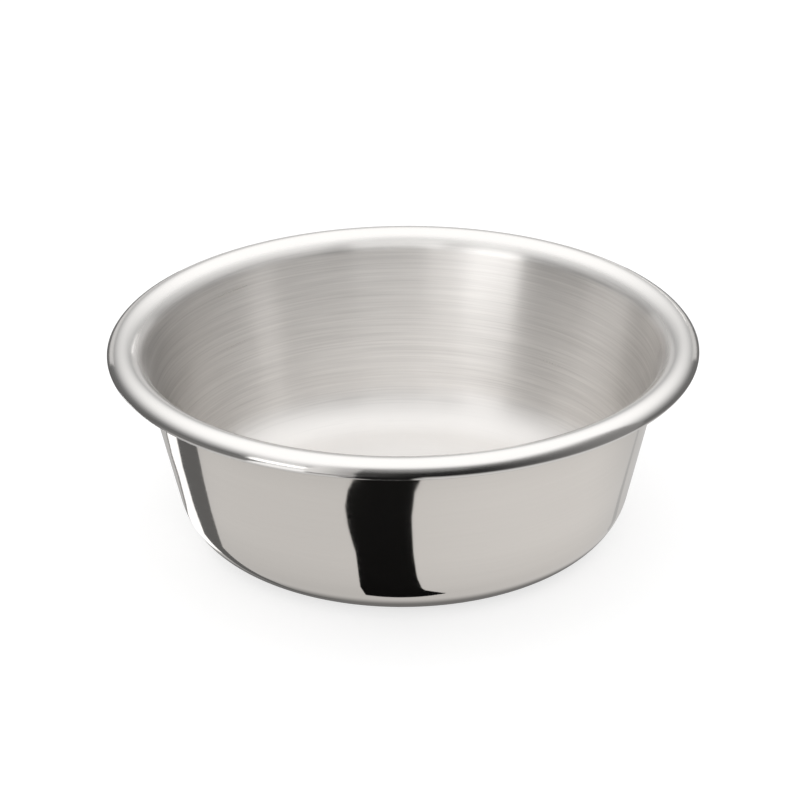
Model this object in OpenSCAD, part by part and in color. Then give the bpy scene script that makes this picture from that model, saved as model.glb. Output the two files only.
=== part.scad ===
// Shaving bowl. One round sheet of stainless steel is drawn into a flared bowl with a flat
// base, and its edge is rolled outwards and tucked under to make a hollow, finger-safe rim.
// The bowl stands on z = 0 and the Z axis is its axis of symmetry.

/* [Bowl] */
// Diameter over the rolled rim
rim_d = 120; // [100:1:150]
// Height from the resting face to the top of the rim
bowl_h = 42; // [36:0.5:60]
// Lean of the wall away from vertical, in degrees
wall_lean = 12.5; // [5:0.5:20]
// Outside radius of the heel, the bend between base and wall
heel_r = 11; // [5:0.5:14]
// Thickness of the sheet
sheet_t = 0.7; // [0.5:0.1:1]

/* [Rolled rim] */
// Outside radius of the shoulder, where the wall turns outwards into the rim
shoulder_r = 5.2; // [4:0.1:7]
// Outside radius of the crown, the top of the rim
crown_r = 3.4; // [2.6:0.1:4.5]
// Outside radius of the tight bend that turns the edge under
edge_r = 1.2; // [1.1:0.1:2]
// Gap between the tucked-in edge and the wall
tuck_gap = 0.2; // [0.1:0.05:0.5]

/* [Hidden] */

// Fineness of the section's arcs, in degrees, and of the turned surfaces.
arc_step = 3;
$fn = 180;

// The section is drawn as [radius, height]. On each arc of the sheet, an angle is the
// direction that the outer face looks in: 0 is away from the axis and 90 is up.
down = -90;
edge_end = 30;
crown_end = 108;
wall_in = 180 - wall_lean;
wall_out = -wall_lean;

function dir(a) = [cos(a), sin(a)];

// Points along an arc from angle a to angle b, both ends included.
function arc(centre, r, a, b) =
    let (n = ceil(abs(b - a) / arc_step))
    [for (i = [0 : n]) centre + r * dir(a + (b - a) * i / n)];

// Each arc of the rim meets the next with a common tangent, so its centre lies on the line
// through the last centre and the point where they meet.
edge_c = [rim_d / 2 - edge_r, bowl_h - crown_r + (crown_r - edge_r) * sin(edge_end)];
crown_c = edge_c + (edge_r - crown_r) * dir(edge_end);
shoulder_c = crown_c + (crown_r - shoulder_r) * dir(crown_end);

// The top of the wall's outside face, and the heel that its line runs down to.
wall_top = shoulder_c + (shoulder_r - sheet_t) * dir(wall_in);
heel_c = [(wall_top * dir(wall_out) - heel_r * (1 - sin(wall_lean))) / cos(wall_lean), heel_r];

// Radius of the outside face of the wall and the shoulder at height z.
function outside_r(z) =
    z > wall_top.y
        ? shoulder_c.x - sqrt(pow(shoulder_r - sheet_t, 2) - pow(z - shoulder_c.y, 2))
        : wall_top.x - (wall_top.y - z) * tan(wall_lean);

// The tucked-in edge lies flat and ends in a rounded lip, just short of the wall.
lip_r = sheet_t / 2;
lip_c = [
    outside_r(edge_c.y - edge_r + sheet_t) + tuck_gap + lip_r,
    edge_c.y - edge_r + lip_r
];

// The outside of the bowl, from the centre of the base to the lip, along the inside of the
// roll, and then back over the rim and down the inside of the bowl.
section = concat(
    [[0, 0]],
    arc(heel_c, heel_r, down, wall_out),
    arc(shoulder_c, shoulder_r - sheet_t, wall_in, crown_end),
    arc(crown_c, crown_r - sheet_t, crown_end, edge_end),
    arc(edge_c, edge_r - sheet_t, edge_end, down),
    arc(lip_c, lip_r, 90, 270),
    arc(edge_c, edge_r, down, edge_end),
    arc(crown_c, crown_r, edge_end, crown_end),
    arc(shoulder_c, shoulder_r, crown_end, wall_in),
    arc(heel_c, heel_r - sheet_t, wall_out, down),
    [[0, sheet_t]]
);

module bowl() {
    color("gainsboro")
    rotate_extrude()
    polygon(section);
}

bowl();
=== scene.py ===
"""Looks of the shaving bowl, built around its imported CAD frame. Metres, +Z up."""

import math

import bpy
from mathutils import Matrix, Vector


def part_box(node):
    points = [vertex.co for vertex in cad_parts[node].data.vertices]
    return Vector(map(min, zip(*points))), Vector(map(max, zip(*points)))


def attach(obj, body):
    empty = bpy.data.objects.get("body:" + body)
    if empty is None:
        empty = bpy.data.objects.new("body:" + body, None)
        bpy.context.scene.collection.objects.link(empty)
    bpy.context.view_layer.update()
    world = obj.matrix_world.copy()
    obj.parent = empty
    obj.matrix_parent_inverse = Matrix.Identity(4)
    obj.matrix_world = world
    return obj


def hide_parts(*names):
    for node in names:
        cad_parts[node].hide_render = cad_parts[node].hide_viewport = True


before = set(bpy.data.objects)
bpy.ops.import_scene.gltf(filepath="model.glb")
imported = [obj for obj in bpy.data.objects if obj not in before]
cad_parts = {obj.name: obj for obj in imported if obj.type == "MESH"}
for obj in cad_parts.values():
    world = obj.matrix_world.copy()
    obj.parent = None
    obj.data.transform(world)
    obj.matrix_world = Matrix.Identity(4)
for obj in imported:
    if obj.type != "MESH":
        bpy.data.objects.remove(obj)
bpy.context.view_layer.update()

# ---------------------------------------------------------------- sizes of the bowl
low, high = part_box("bowl")
RIM_R = (high.x - low.x) / 2
HEIGHT = high.z
WALL_LEAN = math.radians(12.5)
HEEL_R = 0.011
SHEET = 0.0007
SHOULDER_R = 0.0052
CROWN_R = 0.0034
EDGE_R = 0.0012
TUCK_GAP = 0.0002
EDGE_END = math.radians(30)
CROWN_END = math.radians(108)

TURNS = 384  # faces around the bowl
FINE = math.radians(2.5)  # arc step where the section shows
COARSE = math.radians(12)  # arc step inside the roll, where nothing shows

# Finishes of the surface, in the order of the material slots.
POLISHED, SATIN = range(2)


# ---------------------------------------------------------------- the bowl's section
def polar(radius, angle):
    """A step from an arc's centre, as (radius, height) in the section."""
    return Vector((radius * math.cos(angle), radius * math.sin(angle)))


def arc(centre, radius, start, end, side, zone, step=FINE):
    """Points of the section with their normals: side is 1 where the surface looks away from the
    arc's centre and -1 where it looks towards it. zone is that of the surface along the arc."""
    count = math.ceil(abs(end - start) / step)
    angles = [start + (end - start) * i / count for i in range(count + 1)]
    return [(centre + polar(radius, a), polar(side, a), zone) for a in angles]


def bowl_section():
    """The closed section from the centre of the base, up the outside, round the roll and down
    the inside, and the index of its point at the top of the inside wall. Each point of the
    section is (place, normal, finish of the surface that follows it)."""
    down, wall_in, wall_out = -math.pi / 2, math.pi - WALL_LEAN, -WALL_LEAN
    top = HEIGHT - CROWN_R + (CROWN_R - EDGE_R) * math.sin(EDGE_END)
    edge = Vector((RIM_R - EDGE_R, top))
    crown = edge + polar(EDGE_R - CROWN_R, EDGE_END)
    shoulder = crown + polar(CROWN_R - SHOULDER_R, CROWN_END)
    wall_top = shoulder + polar(SHOULDER_R - SHEET, wall_in)
    reach = wall_top.dot(polar(1, wall_out)) - HEEL_R * (1 - math.sin(WALL_LEAN))
    heel = Vector((reach / math.cos(WALL_LEAN), HEEL_R))

    lip_r = SHEET / 2
    tuck = edge.y - EDGE_R + SHEET
    outside = shoulder.x - math.sqrt((SHOULDER_R - SHEET) ** 2 - (tuck - shoulder.y) ** 2)
    lip = Vector((outside + TUCK_GAP + lip_r, tuck - lip_r))

    section = [(Vector((0, 0)), Vector((0, -1)), POLISHED)]
    section += arc(heel, HEEL_R, down, wall_out, 1, POLISHED)
    section += arc(shoulder, SHOULDER_R - SHEET, wall_in, CROWN_END, -1, POLISHED, COARSE)
    section += arc(crown, CROWN_R - SHEET, CROWN_END, EDGE_END, -1, POLISHED, COARSE)[1:]
    section += arc(edge, EDGE_R - SHEET, EDGE_END, down, -1, POLISHED, COARSE)[1:]
    section += arc(lip, lip_r, math.pi / 2, 1.5 * math.pi, 1, POLISHED, COARSE)
    section += arc(edge, EDGE_R, down, EDGE_END, 1, SATIN, FINE * 3)
    section += arc(crown, CROWN_R, EDGE_END, CROWN_END, 1, SATIN)[1:]
    section += arc(shoulder, SHOULDER_R, CROWN_END, wall_in, 1, SATIN)[1:]
    wall_start = len(section) - 1
    section += arc(heel, HEEL_R - SHEET, wall_out, down, -1, SATIN)
    section += [(Vector((0, SHEET)), Vector((0, 1)), SATIN)]
    return section, wall_start


def turned(name, section, start_of_run, turns):
    """A mesh of revolution with exact normals. Its attribute "run" is how far each point lies
    along the section, counted from the point start_of_run, for textures that follow the
    surface."""
    lengths = [(b[0] - a[0]).length for a, b in zip(section, section[1:])]
    verts, normals, run = [], [], []
    for i, (place, normal, _) in enumerate(section):
        travelled = sum(lengths[:i]) - sum(lengths[:start_of_run])
        on_axis = place.x < 1e-9
        for k in range(1 if on_axis else turns):
            angle = 2 * math.pi * k / turns
            c, s = math.cos(angle), math.sin(angle)
            verts.append((place.x * c, place.x * s, place.y))
            normals.append((normal.x * c, normal.x * s, normal.y))
            run.append(travelled)

    faces, zones = [], []
    start = 0
    for (place, _, zone), (following, _, _) in zip(section, section[1:]):
        size = 1 if place.x < 1e-9 else turns
        nxt = start + size
        for k in range(turns):
            a, b = k, (k + 1) % turns
            if size == 1:
                faces.append((start, nxt + b, nxt + a))
            elif following.x < 1e-9:
                faces.append((start + a, start + b, nxt))
            else:
                faces.append((start + a, start + b, nxt + b, nxt + a))
            zones.append(zone)
        start = nxt

    mesh = bpy.data.meshes.new(name)
    mesh.from_pydata(verts, [], faces)
    mesh.polygons.foreach_set("material_index", zones)
    mesh.polygons.foreach_set("use_smooth", [True] * len(faces))
    mesh.attributes.new("run", "FLOAT", "POINT").data.foreach_set("value", run)
    mesh.normals_split_custom_set_from_vertices(normals)
    obj = bpy.data.objects.new(name, mesh)
    bpy.context.scene.collection.objects.link(obj)
    return obj


# ---------------------------------------------------------------- materials
# The range that nearly all of a noise's values lie in.
NOISE_SPREAD = (0.30, 0.70)

# Stretches of "run", from the top of the inside wall, over which the finish changes.
ROUGHENING = (-0.0041, -0.0028)  # from the polished rim to the duller wall
BRUSHING = (-0.0030, -0.0014)  # from no brush lines to all of them
TO_BASE = (0.028, 0.036)  # from the wall to the base

# Roughness of each part, and how much the brush lines change it either way.
OUTSIDE_ROUGH = (0.06, 0.09)
RIM_ROUGH = 0.16
WALL_ROUGH = 0.31
BASE_EXTRA_ROUGH = 0.10
LINE_ROUGH = 0.04

# Darkest and lightest steel, and its warmth, which is how far green falls short of red.
OUTSIDE_TONE = (0.797, 0.809)
OUTSIDE_WARMTH = 0.042
INSIDE_TONE = (0.775, 0.955)
INSIDE_WARMTH = 0.021
BLUE_TO_GREEN = 2.1  # blue falls short of red by this many times as much as green does

# How strongly the brush lines show on the wall and on the base, and the fine lines' share of
# them. The rest are broad.
WALL_LINES = 0.75
BASE_LINES = 0.45
FINE_SHARE = 0.75

# How much paler than the middle tone each part is. The base's share is painted light: a paler tone
# for the bright overhead light that the base faces.
RIM_PALER = -0.14
WALL_PALER = 0.03
BASE_PAINTED_LIGHT = 0.20


class Nodes:
    """A material's node tree, with short ways to add and join nodes."""

    def __init__(self, name):
        self.material = bpy.data.materials.new(name)
        self.material.use_nodes = True
        self.tree = self.material.node_tree
        self.shader = self.tree.nodes["Principled BSDF"]

    def add(self, kind, inputs=None, **settings):
        node = self.tree.nodes.new("ShaderNode" + kind)
        for key, value in settings.items():
            setattr(node, key, value)
        for key, value in (inputs or {}).items():
            self.put(node.inputs[key], value)
        return node

    def put(self, socket, value):
        if isinstance(value, bpy.types.NodeSocket):
            self.tree.links.new(value, socket)
        else:
            socket.default_value = value

    def math(self, operation, a, b=0.0):
        return self.add("Math", {0: a, 1: b}, operation=operation).outputs[0]

    def span(self, value, from_low, from_high, to_low, to_high):
        ranges = {"From Min": from_low, "From Max": from_high, "To Min": to_low, "To Max": to_high}
        return self.add("MapRange", {"Value": value, **ranges}).outputs["Result"]

    def rise(self, value, from_low, from_high, to_low, to_high):
        """The same as span, but easing in and out."""
        result = self.span(value, from_low, from_high, to_low, to_high)
        result.node.interpolation_type = "SMOOTHSTEP"
        return result

    def bump(self, height, strength, distance, onto=None):
        inputs = {"Height": height, "Strength": strength, "Distance": distance}
        if onto is not None:
            inputs["Normal"] = onto
        return self.add("Bump", inputs).outputs[0]


def around(n, per_turn, per_metre):
    """A coordinate for lines that run around the bowl: it changes slowly around the axis and
    fast along the section, so that noise read from it is drawn out into long thin arcs."""
    place = n.add("TexCoord").outputs["Object"]
    flat = n.add("VectorMath", {0: place, 1: (1, 1, 0)}, operation="MULTIPLY").outputs[0]
    heading = n.add("VectorMath", {0: flat}, operation="NORMALIZE").outputs[0]
    slow = n.add("VectorMath", {0: heading, "Scale": per_turn}, operation="SCALE").outputs[0]
    run = n.add("Attribute", attribute_name="run").outputs["Fac"]
    lift = n.add("CombineXYZ", {"Z": n.math("MULTIPLY", run, per_metre)}).outputs[0]
    return n.add("VectorMath", {0: slow, 1: lift}, operation="ADD").outputs[0]


def noise(n, vector, scale=1.0, detail=2.0, roughness=0.5):
    inputs = {"Vector": vector, "Scale": scale, "Detail": detail, "Roughness": roughness}
    return n.add("TexNoise", inputs).outputs["Fac"]


def steel_tone(n, lines, dark, light, warmth):
    """Bare steel, slightly warm, between two brightnesses along its lines."""
    blue = 1 - BLUE_TO_GREEN * warmth
    low, high = [(v, v * (1 - warmth), v * blue, 1) for v in (dark, light)]
    share = n.span(lines, *NOISE_SPREAD, 0, 1)
    mix = n.add("Mix", {0: share, 6: low, 7: high}, data_type="RGBA")
    n.put(n.shader.inputs["Base Color"], mix.outputs[2])
    n.put(n.shader.inputs["Metallic"], 1.0)


def polished_steel():
    """The outside: drawn steel, buffed nearly to a mirror, with a trace of buffing lines and the
    slight waviness of thin sheet."""
    n = Nodes("steel_polished")
    place = n.add("TexCoord").outputs["Object"]
    wave = noise(n, place, scale=45, detail=1)
    buff = noise(n, around(n, per_turn=2, per_metre=2200))
    steel_tone(n, buff, *OUTSIDE_TONE, OUTSIDE_WARMTH)
    n.put(n.shader.inputs["Roughness"], n.span(buff, *NOISE_SPREAD, *OUTSIDE_ROUGH))
    wavy = n.bump(wave, strength=0.12, distance=0.0008)
    n.put(n.shader.inputs["Normal"], n.bump(buff, strength=0.02, distance=0.00002, onto=wavy))
    return n.material


def satin_steel():
    """The rim and the inside. The rim has no brush lines and is brighter than the inside, but
    duller than the outside. The wall below it is brushed round and round, so that highlights
    spread across the lines. The heel and the base are rougher, and the base is painted paler than
    the wall, which is painted light from overhead."""
    n = Nodes("steel_satin")
    run = n.add("Attribute", attribute_name="run").outputs["Fac"]
    brushed = n.span(run, *BRUSHING, 0, 1)
    base = n.span(run, *TO_BASE, 0, 1)
    fine = noise(n, around(n, per_turn=2.4, per_metre=2900), detail=1)
    broad = noise(n, around(n, per_turn=2.0, per_metre=900), detail=1)
    lines = n.math("ADD", n.math("MULTIPLY", fine, FINE_SHARE),
                   n.math("MULTIPLY", broad, 1 - FINE_SHARE))
    depth = n.math("MULTIPLY", brushed, n.span(base, 0, 1, WALL_LINES, BASE_LINES))
    shown = n.math("ADD", n.math("MULTIPLY", n.math("SUBTRACT", lines, 0.5), depth), 0.5)

    # The base's part of this is painted light from overhead.
    tone_and_painted_light = n.math("ADD", n.span(brushed, 0, 1, RIM_PALER, WALL_PALER),
                   n.math("MULTIPLY", base, BASE_PAINTED_LIGHT))
    steel_tone(n, n.math("ADD", shown, tone_and_painted_light), *INSIDE_TONE, INSIDE_WARMTH)

    upper = n.span(run, *ROUGHENING, RIM_ROUGH, WALL_ROUGH)
    whole = n.math("ADD", upper, n.math("MULTIPLY", base, BASE_EXTRA_ROUGH))
    by_line = n.span(shown, *NOISE_SPREAD, -LINE_ROUGH, LINE_ROUGH)
    n.put(n.shader.inputs["Roughness"], n.math("ADD", whole, by_line))
    n.put(n.shader.inputs["Anisotropic"], 0.9)
    n.put(n.shader.inputs["Anisotropic Rotation"], 0.25)
    tangent = n.add("Tangent", direction_type="RADIAL", axis="Z").outputs[0]
    n.put(n.shader.inputs["Tangent"], tangent)
    n.put(n.shader.inputs["Normal"], n.bump(shown, strength=0.15, distance=0.00006))
    return n.material


bowl = turned("bowl_shell", *bowl_section(), TURNS)
for material in (polished_steel(), satin_steel()):
    bowl.data.materials.append(material)
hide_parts("bowl")
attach(bowl, "root")


# ---------------------------------------------------------------- floor, lights and world
STAGE_R = 3.0  # radius of the floor and of the white backdrop round it
STAGE_SIDES = 96
BACKDROP_Z = (-0.001, 4.0)
FLOOR_DROP = 0.0002  # the floor lies this far under the base, so that the two don't coincide
TABLE_Z = 0.0001  # height of the table that the steel mirrors
CARD_Z = 0.0003  # and of the cards on it
STAGE_WHITE = (1, 0.99, 0.98, 1)

# The world: which way its light leans, over which range of closeness to that way it rises, and
# how bright it is low down and overhead.
OVERHEAD = (0.04, 0.21, 1)
OVERHEAD_RISE = (0.19, 0.90)
HORIZON = 0.16
ZENITH = 1.28

# The dark gap in front: where it lies, the range over which it comes in, how bright it is and how
# much of it there is in its middle.
GAP = (0, -0.79, 0.61)
GAP_RISE = (0.78, 1.00)
GAP_LIGHT = 0.03
GAP_SHARE = 0.6


def matte(name, colour, glow=0.0):
    """A plain matt surface that may also give off some white light."""
    n = Nodes(name)
    n.put(n.shader.inputs["Base Color"], (*colour, 1))
    n.put(n.shader.inputs["Roughness"], 1.0)
    n.put(n.shader.inputs["Specular IOR Level"], 0.0)
    n.put(n.shader.inputs["Emission Color"], (1, 1, 1, 1))
    n.put(n.shader.inputs["Emission Strength"], glow)
    return n.material


def glowing(n, strength):
    """Makes a material black but for the near-white light that it gives off."""
    n.put(n.shader.inputs["Base Color"], (0, 0, 0, 1))
    n.put(n.shader.inputs["Specular IOR Level"], 0.0)
    n.put(n.shader.inputs["Emission Color"], STAGE_WHITE)
    n.put(n.shader.inputs["Emission Strength"], strength)


def stage_piece(name, verts, faces, material):
    """A piece of the set, which isn't part of the bowl."""
    mesh = bpy.data.meshes.new(name)
    mesh.from_pydata(verts, [], faces)
    mesh.materials.append(material)
    obj = bpy.data.objects.new(name, mesh)
    bpy.context.scene.collection.objects.link(obj)
    return obj


def flat_piece(name, outline, height, material):
    """A flat stage piece with the given outline, lying at a height."""
    verts = [(x, y, height) for x, y in outline]
    return stage_piece(name, verts, [range(len(outline))], material)


def seen_only_by(piece, kind):
    """Shows a piece to one kind of ray only: "camera", or "glossy" for reflections."""
    for ray in ("camera", "glossy", "diffuse", "transmission", "volume_scatter", "shadow"):
        if ray != kind:
            setattr(piece, "visible_" + ray, False)


def circle(radius):
    return [polar(radius, 2 * math.pi * i / STAGE_SIDES) for i in range(STAGE_SIDES)]


def card(name, outline, shade, glow=0.0):
    """A card lying on the floor that only shows as a reflection in the steel."""
    piece = flat_piece(name, outline, CARD_Z, matte(name, (shade, shade, shade), glow))
    seen_only_by(piece, "glossy")


def softbox(name, place, aim, size, radiance):
    """A rectangular light of the given radiance, facing a point."""
    data = bpy.data.lights.new(name, "AREA")
    data.shape = "RECTANGLE"
    data.size, data.size_y = size
    data.energy = radiance * math.pi * size[0] * size[1]
    lamp = bpy.data.objects.new(name, data)
    lamp.location = place
    lamp.rotation_euler = (aim - place).to_track_quat("-Z", "Y").to_euler()
    bpy.context.scene.collection.objects.link(lamp)
    lamp.visible_camera = False


def studio_world():
    """A big soft light overhead that leans back a little and fades towards the horizon, with a
    dark gap in front of the bowl, where the camera stands."""
    world = bpy.data.worlds.new("studio")
    world.use_nodes = True
    bpy.context.scene.world = world
    tree = world.node_tree
    way = tree.nodes.new("ShaderNodeTexCoord").outputs["Generated"]

    def fade(direction, from_low, from_high, to_low, to_high):
        """A smooth change with how far the view turns towards a direction."""
        dot = tree.nodes.new("ShaderNodeVectorMath")
        dot.operation = "DOT_PRODUCT"
        tree.links.new(way, dot.inputs[0])
        dot.inputs[1].default_value = direction
        node = tree.nodes.new("ShaderNodeMapRange")
        node.interpolation_type = "SMOOTHSTEP"
        ranges = {"From Min": from_low, "From Max": from_high, "To Min": to_low, "To Max": to_high}
        for key, setting in ranges.items():
            node.inputs[key].default_value = setting
        tree.links.new(dot.outputs["Value"], node.inputs["Value"])
        return node.outputs["Result"]

    overhead = fade(OVERHEAD, *OVERHEAD_RISE, HORIZON, ZENITH)
    gap = fade(GAP, *GAP_RISE, 0.0, GAP_SHARE)
    mix = tree.nodes.new("ShaderNodeMix")
    tree.links.new(gap, mix.inputs[0])
    tree.links.new(overhead, mix.inputs[2])
    mix.inputs[3].default_value = GAP_LIGHT
    tree.links.new(mix.outputs[0], tree.nodes["Background"].inputs["Strength"])
    tree.nodes["Background"].inputs["Color"].default_value = (1, 1, 1, 1)


def low_light(name, azimuth, width, elevation, height, radiance, distance=0.9):
    """A softbox standing round the table. Its azimuth is counted from the front, positive to the
    right, and all its angles are as the bowl sees them, in degrees."""
    a, e = math.radians(azimuth), math.radians(elevation)
    place = distance * Vector((math.sin(a) * math.cos(e), -math.cos(a) * math.cos(e), math.sin(e)))
    size = [2 * distance * math.tan(math.radians(angle) / 2) for angle in (width, height)]
    rim = Vector((0, 0, HEIGHT))
    softbox(name, rim + place, rim, size, radiance)


def screen(name, radius, low, high, start, end, first, last, soft=0.0):
    """A curved screen round the bowl that only shows as a reflection. It runs between two
    azimuths, counted from the front in degrees and positive to the right, and its brightness
    changes from `first` to `last` on the way. Its top fades away over the height `soft`."""
    steps = 32
    step = math.radians(end - start) / steps
    turns = [math.radians(start) - math.pi / 2 + step * i for i in range(steps + 1)]
    verts = [(*polar(radius, a), z) for z in (low, high) for a in turns]
    faces = [(i, i + 1, i + steps + 2, i + steps + 1) for i in range(steps)]
    n = Nodes(name)
    along = n.add("Attribute", attribute_name="along").outputs["Fac"]
    glowing(n, n.rise(along, 0, 1, first, last))
    if soft:
        height = n.add("SeparateXYZ", {0: n.add("TexCoord").outputs["Object"]}).outputs["Z"]
        n.put(n.shader.inputs["Alpha"], n.rise(height, high - soft, high, 1, 0))
    piece = stage_piece(name, verts, faces, n.material)
    share = piece.data.attributes.new("along", "FLOAT", "POINT")
    share.data.foreach_set("value", [i / steps for i in range(steps + 1)] * 2)
    seen_only_by(piece, "glossy")


# The floor is a white table lit partly from below, so shadows on it stay soft and pale. The steel
# mirrors a grey table in its place, which is darker away from the bowl: a glowing disc with a
# painted shadow under the bowl and painted light round it.
white = matte("floor_white", (0.45, 0.45, 0.45), glow=0.68)
floor = flat_piece("floor", circle(STAGE_R), -FLOOR_DROP, white)
floor.visible_glossy = False

ring = [(x, y, z) for z in BACKDROP_Z for x, y in circle(STAGE_R)]
pairs = [(i, (i + 1) % STAGE_SIDES) for i in range(STAGE_SIDES)]
sides = [(a, b, b + STAGE_SIDES, a + STAGE_SIDES) for a, b in pairs]
backdrop = stage_piece("backdrop", ring, sides, matte("backdrop_white", (0, 0, 0), glow=1.0))
seen_only_by(backdrop, "camera")

studio_world()

# Softboxes: azimuth, width, elevation, height and radiance.
low_light("left_key", -34, 45, 17, 26, 1.12)
low_light("left_edge", -43.5, 25, 15, 27, 0.70)
low_light("front_fill", 2, 38, 30, 32, 1.40)
low_light("right_fill", 37, 36, 22, 18, 0.55)

# Screens: radius, lowest and highest point, first and last azimuth, first and last brightness.
# Two stand low behind the bowl, one wide and one small and bright. Three stand close in front,
# pale, dark and grey from left to right, and the lower edge of the front rim mirrors them.
NEAR, NEAR_TOP, NEAR_SOFT = 0.115, 0.172, 0.10
screen("back_low", 0.95, 0.0, 0.24, 140, 220, 0.68, 0.68)
screen("back_spark", 0.9, 0.200, 0.235, 157, 170, 1.8, 1.8)
screen("near_screen_pale", NEAR, 0.0, NEAR_TOP, -27, -13, 0.85, 0.42, soft=NEAR_SOFT)
screen("near_screen_dark", NEAR, 0.0, NEAR_TOP, -13, 8, 0.03, 0.0, soft=NEAR_SOFT)
screen("near_screen_grey", NEAR, 0.0, NEAR_TOP, 8, 75, 0.0, 0.26, soft=NEAR_SOFT)


def table_card():
    """The grey table that the steel mirrors, a glowing disc with painted light and shade: dark
    where the bowl shades it, as a painted shadow, lit round the bowl and dark further out, as
    painted light."""
    n = Nodes("table_grey")
    place = n.add("TexCoord").outputs["Object"]
    across = n.add("SeparateXYZ", {0: place}).outputs
    radius = n.add("VectorMath", {0: place}, operation="LENGTH").outputs["Value"]
    # Painted shadow: the glow is dimmed under the bowl, where its shadow would fall.
    light = n.rise(radius, 0.0421, 0.0456, 0.30, 1.0)  # the shade under the bowl
    # The changes below are painted light and shade on the glowing table.
    for change in (
        n.rise(radius, 0.046, 0.060, 0.60, 0.69),  # a little lighter away from the bowl
        n.rise(across["X"], -0.03, 0.05, 0.95, 1.08),  # lighter to the right
        n.rise(across["Y"], -0.03, 0.02, 1.0, 0.78),  # darker behind
        n.rise(radius, 0.072, 0.110, 1.0, 0.28),  # dark further out
    ):
        light = n.math("MULTIPLY", light, change)
    glowing(n, light)
    seen_only_by(flat_piece("table_card", circle(STAGE_R), TABLE_Z, n.material), "glossy")


table_card()

# What the steel mirrors on the floor round the bowl, from cards that only show in it: a dark stand
# in front of the bowl, a grey card and a glowing white one with a thin grey line to its left and
# another line to the right of the bowl, which are painted shadow of the bowl on the floor behind
# it, a glowing pale strip further off at the front left, which the rim's lower edge mirrors as a
# painted highlight, and glowing white paper behind.
card("dark_front", [(-0.0088, -0.0463), (0.0095, -0.0468), (0.0050, -0.0505), (0.0034, -0.0550),
                    (0.0028, -0.0610), (0.0028, -0.0700), (0.0043, -0.0760), (0.0080, -0.0800),
                    (0.0080, -0.1200), (-0.0300, -0.1200), (-0.0190, -0.0790), (-0.0222, -0.0760),
                    (-0.0236, -0.0725), (-0.0232, -0.0680), (-0.0205, -0.0640), (-0.0155, -0.0585),
                    (-0.0120, -0.0520)], 0.008)
card("grey_left", [(-0.0125, -0.0410), (-0.0210, -0.0375), (-0.0300, -0.0312), (-0.0400, -0.0225),
                   (-0.0487, -0.0137), (-0.0550, -0.0060), (-0.0650, 0.0037), (-0.0750, 0.0087),
                   (-0.1000, 0.0200), (-0.1000, -0.0035), (-0.0760, -0.0120), (-0.0650, -0.0150),
                   (-0.0550, -0.0187), (-0.0475, -0.0225), (-0.0387, -0.0275), (-0.0275, -0.0345)],
     0.0, glow=0.13)
# Painted reflection: a glowing card, brighter than white, that the steel mirrors at the left.
card("white_left", [(-0.0400, -0.0225), (-0.0487, -0.0137), (-0.0550, -0.0060), (-0.0650, 0.0037),
                    (-0.0750, 0.0087), (-0.1000, 0.0200), (-0.1000, 0.0430), (-0.0750, 0.0260),
                    (-0.0630, 0.0165), (-0.0590, 0.0090), (-0.0515, 0.0000), (-0.0440, -0.0060)],
     0.0, glow=1.3)
# Painted shadow: a thin grey line that stands for the bowl's shadow on the floor behind it, at the
# left.
card("painted_shadow_left", [(-0.1000, 0.0430), (-0.0750, 0.0260), (-0.0630, 0.0165), (-0.0590, 0.0090),
                   (-0.0515, 0.0000), (-0.0440, -0.0060), (-0.0425, -0.0055), (-0.0500, 0.0015),
                   (-0.0572, 0.0105), (-0.0610, 0.0182), (-0.0735, 0.0280), (-0.0985, 0.0450)],
     0.0, glow=0.25)
# Painted shadow: a thin grey line that stands for the bowl's shadow on the floor behind it, at the
# right.
card("painted_shadow_right", [(0.0440, -0.0120), (0.0545, 0.0000), (0.0715, 0.0215), (0.0900, 0.0450),
                    (0.0925, 0.0440), (0.0740, 0.0205), (0.0570, -0.0010), (0.0460, -0.0130)],
     0.0, glow=0.46)
# Painted highlight: a glowing strip that puts a white streak on the lower edge of the front rim.
card("painted_highlight_front",
     [polar(0.082, math.radians(-90 + a)) for a in (-46, -41, -36, -31, -28)]
     + [polar(0.450, math.radians(-90 + a)) for a in (-28, -36, -46)], 0.0, glow=1.1)
# Painted reflection: a glowing card that the steel mirrors behind the bowl.
card("white_back", [(-0.055, 0.110), (0.055, 0.110), (0.150, 0.600), (-0.150, 0.600)],
     0.0, glow=0.9)


# ---------------------------------------------------------------- camera
VIEW_ELEVATION = math.radians(26.15)
VIEW_DISTANCE = 0.55
VIEW_ROLL = math.radians(0.5)
LENS = 119.85
SENSOR = 36
AIM_SHIFT = Vector((-0.0007, 0, 0.0056))  # from the bowl's middle to what the camera looks at

middle = Vector((0, 0, HEIGHT / 2))
back = Vector((0, -math.cos(VIEW_ELEVATION), math.sin(VIEW_ELEVATION)))
camera_data = bpy.data.cameras.new("camera")
camera_data.lens = LENS
camera_data.sensor_width = SENSOR
camera = bpy.data.objects.new("camera", camera_data)
camera.location = middle + VIEW_DISTANCE * back
aim = middle + AIM_SHIFT
turn = (aim - camera.location).to_track_quat("-Z", "Y").to_matrix().to_4x4()
camera.rotation_euler = (turn @ Matrix.Rotation(-VIEW_ROLL, 4, "Z")).to_euler()
bpy.context.scene.collection.objects.link(camera)
bpy.context.scene.camera = camera
bpy.context.scene.view_settings.view_transform = "Standard"
